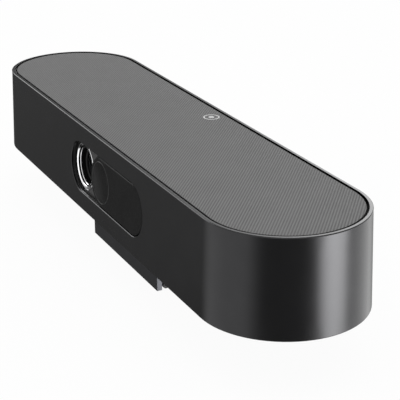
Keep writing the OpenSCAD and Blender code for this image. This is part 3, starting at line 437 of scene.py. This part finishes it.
class Bench:
    """Work done on one piece at a time, with nothing else selected."""

    @staticmethod
    def clear() -> None:
        """Deselects every object."""
        if bpy.context.object and bpy.context.object.mode != "OBJECT":
            bpy.ops.object.mode_set(mode="OBJECT")
        bpy.ops.object.select_all(action="DESELECT")

    @staticmethod
    def pick(piece: bpy.types.Object) -> None:
        """Makes one object the only one selected and the active one.

        Args:
            piece: The object.
        """
        Bench.clear()
        piece.select_set(True)
        bpy.context.view_layer.objects.active = piece

    @staticmethod
    def edit(piece: bpy.types.Object) -> None:
        """Opens a piece in edit mode with all of it selected.

        Args:
            piece: The piece.
        """
        Bench.pick(piece)
        bpy.ops.object.mode_set(mode="EDIT")
        bpy.ops.mesh.select_all(action="SELECT")

    @staticmethod
    def done() -> None:
        """Leaves edit mode."""
        bpy.ops.object.mode_set(mode="OBJECT")

    @staticmethod
    def apply(piece: bpy.types.Object, kind: str, **settings: object) -> None:
        """Adds a modifier and applies it.

        Args:
            piece: The piece that is changed.
            kind: The modifier's type.
            settings: Its settings.
        """
        Bench.pick(piece)
        modifier = piece.modifiers.new(kind.lower(), kind)
        for name, value in settings.items():
            setattr(modifier, name, value)
        bpy.ops.object.modifier_apply(modifier=modifier.name)

    @staticmethod
    def smooth(piece: bpy.types.Object, degrees: float = 30.0) -> None:
        """Shades a piece smooth, with its edges above an angle left sharp."""
        Bench.pick(piece)
        bpy.ops.object.shade_smooth_by_angle(angle=math.radians(degrees))

    @staticmethod
    def finish(piece: bpy.types.Object, body: Body, slot: str, *nodes: str,
               surface: Finish | None = None) -> None:
        """Gives a piece its material, its body and the nodes that it stands for.

        Args:
            piece: The piece.
            body: The CAD body that it rides on.
            slot: Its material slot, which names its finish.
            nodes: The CAD nodes that it replaces.
            surface: Its finish, where it isn't the slot's.
        """
        piece.data.materials.clear()
        piece.data.materials.append((surface or getattr(Palette, slot)).material())
        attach(piece, body.value)
        if nodes:
            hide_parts(*nodes)
        LOG.info("%s: %d faces", piece.name, len(piece.data.polygons))

    @staticmethod
    def softened(node: str, body: Body, slot: str, edge_mm: float, steps: int = 2) -> None:
        """Copies a CAD node, merges its triangles and rounds its edges.

        Args:
            node: The CAD node.
            body: The CAD body that it rides on.
            slot: Its material slot.
            edge_mm: Width of the rounding.
            steps: Faces across the rounding, where 1 is a flat bevel.
        """
        piece = bpy.data.objects.new("soft_" + node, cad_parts[node].data.copy())
        bpy.context.scene.collection.objects.link(piece)
        Bench.edit(piece)
        bpy.ops.mesh.remove_doubles(threshold=MERGE)
        bpy.ops.mesh.dissolve_limited(angle_limit=FLAT_ANGLE)
        Bench.done()
        Bench.apply(piece, "BEVEL", width=edge_mm * MM, segments=steps, limit_method="ANGLE",
                    angle_limit=EDGE_ANGLE, use_clamp_overlap=False)
        Bench.smooth(piece)
        Bench.apply(piece, "WEIGHTED_NORMAL", mode="FACE_AREA", keep_sharp=True)
        Bench.finish(piece, body, slot, node)

    @staticmethod
    def chain(name: str, points: list[Vector]) -> bpy.types.Object:
        """Draws a line of vertices, each extruded from the one before.

        It stays in edit mode with all of the line selected.

        Args:
            name: The piece's name.
            points: The places of the vertices.

        Returns:
            The piece.
        """
        Bench.clear()
        bpy.ops.mesh.primitive_plane_add(size=MM, location=(0.0, 0.0, 0.0))
        piece = bpy.context.object
        piece.name = name
        Bench.edit(piece)
        bpy.ops.mesh.merge(type="CENTER")
        bpy.ops.transform.translate(value=points[0])
        for before, point in zip(points, points[1:]):
            bpy.ops.mesh.extrude_region_move(TRANSFORM_OT_translate={"value": point - before})
        bpy.ops.mesh.select_all(action="SELECT")
        return piece

    @staticmethod
    def closed(piece: bpy.types.Object) -> bpy.types.Object:
        """Merges a piece's doubles, turns its faces outwards and applies its place.

        Args:
            piece: The piece, in edit mode.

        Returns:
            The piece.
        """
        bpy.ops.mesh.select_all(action="SELECT")
        bpy.ops.mesh.remove_doubles(threshold=MERGE)
        bpy.ops.mesh.normals_make_consistent(inside=False)
        Bench.done()
        bpy.ops.object.transform_apply(location=True, rotation=True, scale=True)
        return piece

    @staticmethod
    def turned(name: str, profile: list[tuple[float, float]], place: Matrix,
               steps: int = 128) -> bpy.types.Object:
        """Turns a closed profile about its axis, as on a lathe.

        Args:
            name: The piece's name.
            profile: Radius and height of each point, in millimetres.
            place: Where the axis stands in the object.
            steps: Faces round the piece.

        Returns:
            The piece.
        """
        points = [Vector((radius, 0.0, height)) * MM for radius, height in profile + profile[:1]]
        piece = Bench.chain(name, points)
        bpy.ops.mesh.spin(steps=steps, angle=math.tau, center=(0.0, 0.0, 0.0), axis=SPIN_AXIS)
        Bench.closed(piece)
        piece.matrix_world = place
        bpy.ops.object.transform_apply(location=True, rotation=True, scale=True)
        return piece

    @staticmethod
    def front(across_mm: float) -> Matrix:
        """Gives a place at half height on the leaning front, with its Z pointing out of the front.

        Args:
            across_mm: How far it is from the camera's middle, to the right.

        Returns:
            The place.
        """
        lean = math.atan(FRONT_DRAFT / FRONT_HEIGHT)
        up = Vector((0.0, math.sin(lean), math.cos(lean)))
        out = Vector((0.0, -math.cos(lean), math.sin(lean)))
        turn = Matrix((Vector((1.0, 0.0, 0.0)), up, out)).transposed().to_4x4()
        return Matrix.Translation(Vector((across_mm, FRONT_Y, FRONT_Z)) * MM) @ turn

    @staticmethod
    def dress(slot: str, *nodes: str) -> None:
        """Gives CAD nodes that stay as they are the material of a slot.

        Args:
            slot: The material slot.
            nodes: The CAD nodes.
        """
        for node in nodes:
            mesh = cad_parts[node].data
            mesh.materials.clear()
            mesh.materials.append(getattr(Palette, slot).material())
            LOG.info("%s: CAD node in %s", node, slot)


@dataclass
class Shell:
    """The metal housing, its bottom cover and the plate round the ports."""

    rim_edge_mm: float = 0.12
    cover_edge_mm: float = 0.15
    screw_edge_mm: float = 0.1
    usb_edge_mm: float = 0.05
    jack_edge_mm: float = 0.1

    def build(self) -> None:
        """Builds and dresses the shell."""
        Bench.softened("main_housing", Body.CAMERA, "dark_metal", self.rim_edge_mm)
        Bench.softened("bottom_cover", Body.CAMERA, "cover_plastic", self.cover_edge_mm)
        Bench.softened("port_bezel", Body.CAMERA, "track_plastic", self.cover_edge_mm)
        Bench.softened("cover_screws", Body.CAMERA, "steel", self.screw_edge_mm)
        Bench.softened("usb_receptacle", Body.CAMERA, "tin", self.usb_edge_mm)
        Bench.softened("audio_jack", Body.CAMERA, "chip", self.jack_edge_mm)


@dataclass
class Grille:
    """The slotted carrier and the cloth that is stretched over it.

    The cloth rises a little above its CAD form, nearly to the rim. Faces that look up by more than a set
    limit are plain cloth. The others, its turned-down edge in the gap by the rim, get painted shade: a
    near-black finish that stands in for the gap's shadow. The mark's sizes are in millimetres.
    """

    rise_mm: float = 0.35
    cloth_mm: float = 0.95
    corner_mm: float = 1.0
    corner_steps: int = 6
    corner_smooth: float = 60.0
    end_steps: int = 64
    shade_limit: float = 0.8
    mark_y_mm: float = 28.9
    mark_ring_r: float = 4.5
    mark_line: float = 0.75
    mark_dot_r: float = 1.6
    mark_t: float = 0.06

    def build(self) -> None:
        """Builds and dresses the grille."""
        Bench.dress("carrier_plastic", "grille_carrier")
        low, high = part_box("grille_cloth")
        radius = high.y
        run = high.x - high.y
        top = high.z + self.rise_mm * MM
        cloth = self.sweep("grille_cover", self.profile(radius, low.z, top), run)
        Bench.smooth(cloth, self.corner_smooth)
        Bench.finish(cloth, Body.CAMERA, "cloth", "grille_cloth")
        # Painted shade: faces that don't look up get the near-black finish that stands in for the shadow
        # in the gap by the rim
        cloth.data.materials.append(Palette.cloth_edge_painted_shade.material())
        for face in cloth.data.polygons:
            face.material_index = 0 if face.normal.z > self.shade_limit else 1
        self.mark(top)

    def mark(self, top: float) -> None:
        """Prints the touch field's mark, a ring round a dot, on the cloth.

        Args:
            top: Height of the cloth.
        """
        place = Matrix.Translation((0.0, self.mark_y_mm * MM, top))
        bevel = self.mark_t / 2
        outer = self.mark_ring_r
        inner = outer - self.mark_line
        dot = self.mark_dot_r
        ring = [(inner, 0.0), (outer, 0.0), (outer, bevel), (outer - bevel, self.mark_t),
                (inner + bevel, self.mark_t), (inner, bevel)]
        spot = [(0.0, 0.0), (dot, 0.0), (dot, bevel), (dot - bevel, self.mark_t), (0.0, self.mark_t)]
        for name, profile in (("touch_ring", ring), ("touch_dot", spot)):
            piece = Bench.turned(name, profile, place, self.end_steps)
            Bench.finish(piece, Body.CAMERA, "cloth", surface=Palette.print_ink)

    def profile(self, radius: float, low: float, high: float) -> list[Vector]:
        """Gives the cloth's cross-section from its middle line out, round the edge and back inside.

        Args:
            radius: Half the cloth's width.
            low: Height of its lower edge.
            high: Height of its top.

        Returns:
            Points whose X is the distance from the middle line.
        """
        corner = self.corner_mm * MM
        cloth = self.cloth_mm * MM
        centre = Vector((radius - corner, 0.0, high - corner))
        turns = [math.pi / 2 * step / self.corner_steps for step in range(self.corner_steps + 1)]
        spokes = [Vector((math.sin(turn), 0.0, math.cos(turn))) for turn in turns]
        outside = [centre + corner * spoke for spoke in spokes]
        inside = [centre + (corner - cloth) * spoke for spoke in reversed(spokes)]
        foot = [Vector((radius, 0.0, low)), Vector((radius - cloth, 0.0, low))]
        middle_out = Vector((0.0, 0.0, high))
        middle_in = Vector((0.0, 0.0, high - cloth))
        return [middle_out, *outside, *foot, *inside, middle_in]

    def sweep(self, name: str, profile: list[Vector], run: float) -> bpy.types.Object:
        """Draws a profile, runs it round the outline and closes it.

        It is spun round one end, extruded along, spun round the other end and extruded back.

        Args:
            name: The piece's name.
            profile: Points whose X is the distance from the middle line.
            run: Half the distance between the two end centres.

        Returns:
            The piece.
        """
        start = Vector((run, 0.0, 0.0))
        piece = Bench.chain(name, [start + Vector((0.0, -point.x, point.z)) for point in profile])
        bpy.ops.mesh.spin(steps=self.end_steps, angle=math.pi, center=start, axis=SPIN_AXIS)
        bpy.ops.mesh.extrude_region_move(TRANSFORM_OT_translate={"value": (-2 * run, 0.0, 0.0)})
        bpy.ops.mesh.spin(steps=self.end_steps, angle=math.pi, center=-start, axis=SPIN_AXIS)
        bpy.ops.mesh.extrude_region_move(TRANSFORM_OT_translate={"value": (2 * run, 0.0, 0.0)})
        return Bench.closed(piece)


@dataclass
class LensUnit:
    """Bezel, retaining ring, glass, barrel and what is behind them.

    Radii and depths are in millimetres, the depths behind the front. The crest is the polished ring's
    curve from its rim to its bore, as radius and depth, and the glint is a bright edge on the bore's step.
    """

    axis_mm: float = -19.5
    bore_r: float = 9.9
    step_r: float = 10.95
    ring_r: float = 13.6
    flange_r: float = 15.5
    crest: tuple[tuple[float, float], ...] = (
        (13.6, 3.0), (13.58, 2.76), (13.5, 2.6), (13.3, 2.5), (12.9, 2.52),
        (12.2, 2.64), (11.5, 2.84), (11.12, 2.98), (10.95, 3.12),
    )
    step_d: float = 4.3
    glint: float = 0.2
    flange_d: float = 6.4
    back_d: float = 7.6
    crest_smooth: float = 28.0
    edge_mm: float = 0.08

    def build(self) -> None:
        """Builds and dresses the lens."""
        self.bezel()
        Bench.softened("lens_retainer", Body.CAMERA, "lens_black", self.edge_mm)
        Bench.softened("lens_front_glass", Body.CAMERA, "lens_glass", self.edge_mm)
        Bench.softened("lens_barrel", Body.CAMERA, "lens_black", self.edge_mm)
        Bench.dress("lens_glass", "lens_rear_glass")
        Bench.dress("lens_black", "lens_holder")
        Bench.dress("filter_glass", "ir_filter")
        Bench.dress("chip", "image_sensor")
        Bench.dress("pcb", "sensor_board")
        Bench.dress("aluminium", "sensor_heatsink")
        Bench.dress("flex", "sensor_flex")
        Bench.dress("steel", "holder_screws", "sensor_board_screws")

    def bezel(self) -> None:
        """Turns the polished ring with its rounded crest, and blackens its bore."""
        floor_d = self.step_d + self.glint
        depths = [(self.bore_r, self.back_d), (self.flange_r, self.back_d),
                  (self.flange_r, self.flange_d), (self.ring_r, self.flange_d),
                  *self.crest, (self.step_r, self.step_d),
                  (self.step_r - self.glint, floor_d), (self.bore_r, floor_d)]
        place = Bench.front(self.axis_mm)
        ring = Bench.turned("lens_ring", [(radius, -depth) for radius, depth in depths], place)
        Bench.smooth(ring, self.crest_smooth)
        Bench.finish(ring, Body.CAMERA, "bezel_chrome", "lens_bezel")
        ring.data.materials.append(Palette.lens_black.material())
        to_front = place.inverted()
        for face in ring.data.polygons:
            spot = to_front @ face.center / MM
            glinting = abs(spot.z + self.step_d + self.glint / 2) < self.glint / 4
            in_bore = math.hypot(spot.x, spot.y) < self.step_r
            face.material_index = 1 if in_bore and not glinting else 0


@dataclass
class ShutterUnit:
    """The sliding shutter in its grooved track, with a fine raised lip round its finger dish. The lip is
    real, and its lighter, shinier plastic is a painted highlight that marks the dish's edge as a bright
    line.

    Sizes are in millimetres: the face's depth behind the front, the dish's place across, and the lip's
    radii, its height above the face and its root in it.
    """

    track_edge_mm: float = 0.15
    edge_mm: float = 0.3
    face_d: float = 0.25
    dish_mm: float = 9.3
    lip_in: float = 11.0
    lip_out: float = 11.4
    lip_high: float = 0.06
    lip_root: float = 0.15
    lip_smooth: float = 60.0

    def build(self) -> None:
        """Builds and dresses the shutter."""
        Bench.softened("shutter_track", Body.CAMERA, "track_plastic", self.track_edge_mm)
        Bench.softened("privacy_shutter", Body.SHUTTER, "shutter_plastic", self.edge_mm, steps=1)
        Bench.dress("steel", "shutter_spring", "track_screws")
        self.lip()

    def lip(self) -> None:
        """Turns the lip round the finger dish."""
        root = -self.face_d - self.lip_root
        top = self.lip_high - self.face_d
        profile = [(self.lip_in, root), (self.lip_out, root), (self.lip_out, -self.face_d),
                   (self.lip_out - self.lip_high, top), (self.lip_in + self.lip_high, top),
                   (self.lip_in, -self.face_d)]
        lip = Bench.turned("dish_lip", profile, Bench.front(self.dish_mm))
        Bench.smooth(lip, self.lip_smooth)
        # The lip gets the lighter, shinier plastic, a painted highlight along the dish's edge
        Bench.finish(lip, Body.SHUTTER, "shutter_plastic", surface=Palette.lip_plastic_painted_highlight)


@dataclass
class Electronics:
    """Boards, sockets, microphones and screws inside the housing."""

    def build(self) -> None:
        """Dresses the electronics."""
        Bench.dress("pcb", "main_board", "mic_board", "touch_board")
        Bench.dress("chip", "board_parts")
        Bench.dress("aluminium", "processor_heatsink")
        Bench.dress("tin", "shield_can", "microphones")
        Bench.dress("gasket", "mic_gaskets")
        Bench.dress("steel", "board_screws", "mic_screws")


@dataclass
class Speakers:
    """The two drivers in their boxes, with their leads."""

    sides: tuple[str, ...] = ("left", "right")

    def build(self) -> None:
        """Dresses the speakers."""
        for side in self.sides:
            Bench.dress("box_plastic", f"speaker_box_{side}")
            Bench.dress("basket_metal", f"speaker_basket_{side}")
            Bench.dress("magnet", f"speaker_magnet_{side}")
            Bench.dress("cone", f"speaker_cone_{side}")
            Bench.dress("rubber", f"speaker_surround_{side}")
        Bench.dress("steel", "speaker_screws")
        Bench.dress("lead", "speaker_leads")


@dataclass
class Clip:
    """Shoe, saddle and folding leg of the display clip."""

    metal_edge_mm: float = 0.2
    pad_edge_mm: float = 0.15
    tilt_edge_mm: float = 0.15
    screw_edge_mm: float = 0.1
    washer_edge_mm: float = 0.05

    def build(self) -> None:
        """Builds and dresses the clip."""
        Bench.softened("clip_shoe", Body.CAMERA, "clip_metal", self.metal_edge_mm)
        Bench.softened("shoe_screws", Body.CAMERA, "steel", self.screw_edge_mm)
        Bench.softened("clip_saddle", Body.SADDLE, "clip_metal", self.metal_edge_mm)
        Bench.softened("tilt_pin", Body.SADDLE, "steel", self.tilt_edge_mm)
        Bench.softened("tilt_washers", Body.SADDLE, "steel", self.washer_edge_mm)
        Bench.softened("lip_pad", Body.SADDLE, "rubber", self.pad_edge_mm)
        Bench.softened("saddle_pad", Body.SADDLE, "rubber", self.pad_edge_mm)
        Bench.softened("leg_hinge_pin", Body.SADDLE, "steel", self.screw_edge_mm)
        Bench.softened("clip_leg", Body.LEG, "clip_metal", self.metal_edge_mm)
        Bench.softened("leg_tip_pad", Body.LEG, "rubber", self.pad_edge_mm)
        Bench.softened("leg_foot_pad", Body.LEG, "rubber", self.pad_edge_mm)
        Bench.softened("tripod_insert", Body.LEG, "brass", self.screw_edge_mm)


@dataclass(frozen=True)
class Zone:
    """A round part of the studio that reflections see brighter or darker.

    Compass and height are the direction of its middle in degrees. Its level, where the rest of the room
    has 1, holds in full up to one angle from the middle and has faded at the end angle.
    """

    compass: float
    height: float
    full: float
    end: float
    level: float


@dataclass
class Studio:
    """Camera, floor, lamp and the surroundings that the metal reflects, with lengths in metres.

    The zones stand for the bright panels and dark flags round a product table.
    """

    eye: tuple[float, float, float] = (0.5729, -0.2572, 0.2745)
    right: tuple[float, float, float] = (0.43858, 0.89869, -0.00174)
    down: tuple[float, float, float] = (0.32396, -0.15991, -0.93246)
    focal_px: float = 1228.26
    photo_px: int = 400
    sensor_mm: float = 36.0
    floor_size: float = 6.0
    floor_colour: tuple[float, float, float, float] = (0.9, 0.9, 0.9, 1.0)
    floor_glow: float = 0.95
    room_level: float = 0.85
    least_level: float = 0.02
    lamp_size: tuple[float, float] = (1.2, 0.8)
    lamp_height: float = 1.1
    lamp_power: float = 1.5
    zones: tuple[Zone, ...] = (
        Zone(-180, -28, 16, 46, 0.1),
        Zone(-125, -58, 12, 28, 0.25),
        Zone(-147, -36, 6, 13, 0.1),
        Zone(122, -20, 10, 30, 0.55),
        Zone(-102, -20, 20, 48, 1.5),
        Zone(-28, -20, 22, 46, 0.33),
        Zone(38, -9, 4, 28, 13.0),
        Zone(85, -20, 20, 40, 2.15),
        Zone(172, 15, 11, 19, 0.28),
        Zone(134, 22, 9, 19, 4.5),
        Zone(-158, 20, 10, 22, 4.0),
    )

    def build(self) -> None:
        """Sets up the studio."""
        self.camera()
        self.floor()
        self.world()
        self.lamp()
        bpy.context.scene.view_settings.view_transform = "Standard"

    def camera(self) -> None:
        """Adds the camera at the photograph's place and angle."""
        data = bpy.data.cameras.new("photo_camera")
        data.sensor_width = self.sensor_mm
        data.lens = self.focal_px * self.sensor_mm / self.photo_px
        camera = bpy.data.objects.new("photo_camera", data)
        bpy.context.scene.collection.objects.link(camera)
        right = Vector(self.right).normalized()
        up = -Vector(self.down).normalized()
        back = right.cross(up)
        turn = Matrix((right, up, back)).transposed().to_4x4()
        camera.matrix_world = Matrix.Translation(self.eye) @ turn
        bpy.context.scene.camera = camera

    def floor(self) -> None:
        """Adds the floor, which the camera sees near white with a faint shadow."""
        Bench.clear()
        bpy.ops.mesh.primitive_plane_add(size=self.floor_size)
        floor = bpy.context.object
        floor.name = "studio_floor"
        made = bpy.data.materials.new("floor_white")
        made.use_nodes = True
        tree = Tree(made.node_tree)
        diffuse = tree.add("BsdfDiffuse", Color=self.floor_colour).outputs[0]
        glow = tree.add("Emission", Color=WHITE, Strength=1.0).outputs[0]
        seen = tree.compute("MULTIPLY", tree.add("LightPath").outputs["Is Camera Ray"], self.floor_glow)
        tree.link(tree.blend(seen, diffuse, glow), tree.add("OutputMaterial").inputs["Surface"])
        floor.data.materials.append(made)
        floor.visible_glossy = False

    def world(self) -> None:
        """Adds a white room whose reflections are darker and brighter in some directions."""
        world = bpy.data.worlds.new("studio")
        world.cycles.sampling_method = "NONE"
        bpy.context.scene.world = world
        world.use_nodes = True
        tree = Tree(world.node_tree)
        looking = tree.add("TexCoord").outputs["Generated"]
        level: Value = 1.0
        for zone in self.zones:
            weight = self.inside(tree, looking, zone)
            level = tree.compute("ADD", level, tree.compute("MULTIPLY", weight, zone.level - 1))
        level = tree.compute("MAXIMUM", level, self.least_level)
        mirror = tree.add("Background", Color=WHITE)
        tree.link(level, mirror.inputs["Strength"])
        seen = tree.add("Background", Color=WHITE, Strength=1.0).outputs[0]
        room = tree.add("Background", Color=WHITE, Strength=self.room_level).outputs[0]
        paths = tree.add("LightPath").outputs
        plain = tree.blend(paths["Is Camera Ray"], room, seen)
        whole = tree.blend(paths["Is Glossy Ray"], plain, mirror.outputs[0])
        tree.link(whole, tree.add("OutputWorld").inputs["Surface"])

    @staticmethod
    def inside(tree: Tree, looking: bpy.types.NodeSocket, zone: Zone) -> bpy.types.NodeSocket:
        """Gives 1 inside a zone of the studio, falling smoothly to 0 outside it.

        Args:
            tree: The world's nodes.
            looking: The direction.
            zone: The zone.

        Returns:
            The weight's output.
        """
        compass = math.radians(zone.compass)
        height = math.radians(zone.height)
        across = math.cos(height)
        middle = (across * math.cos(compass), across * math.sin(compass), math.sin(height))
        near = tree.add("VectorMath", operation="DOT_PRODUCT")
        near.inputs[1].default_value = middle
        tree.link(looking, near.inputs[0])
        span = (math.cos(math.radians(zone.end)), math.cos(math.radians(zone.full)))
        return tree.remap(near.outputs["Value"], span, curve="SMOOTHSTEP")

    def lamp(self) -> None:
        """Adds a large soft lamp overhead."""
        data = bpy.data.lights.new("overhead", "AREA")
        data.shape = "RECTANGLE"
        data.size = self.lamp_size[0]
        data.size_y = self.lamp_size[1]
        data.energy = self.lamp_power
        lamp = bpy.data.objects.new("overhead", data)
        lamp.location = (0.0, 0.0, self.lamp_height)
        bpy.context.scene.collection.objects.link(lamp)


def main() -> None:
    """Builds every sub-assembly, then the studio."""
    logging.basicConfig(level=logging.INFO, format="%(name)s %(message)s")
    for unit in (Shell(), Grille(), LensUnit(), ShutterUnit(), Electronics(), Speakers(), Clip()):
        LOG.info("building %s", type(unit).__name__)
        unit.build()
    Studio().build()


if __name__ == "__main__":
    main()
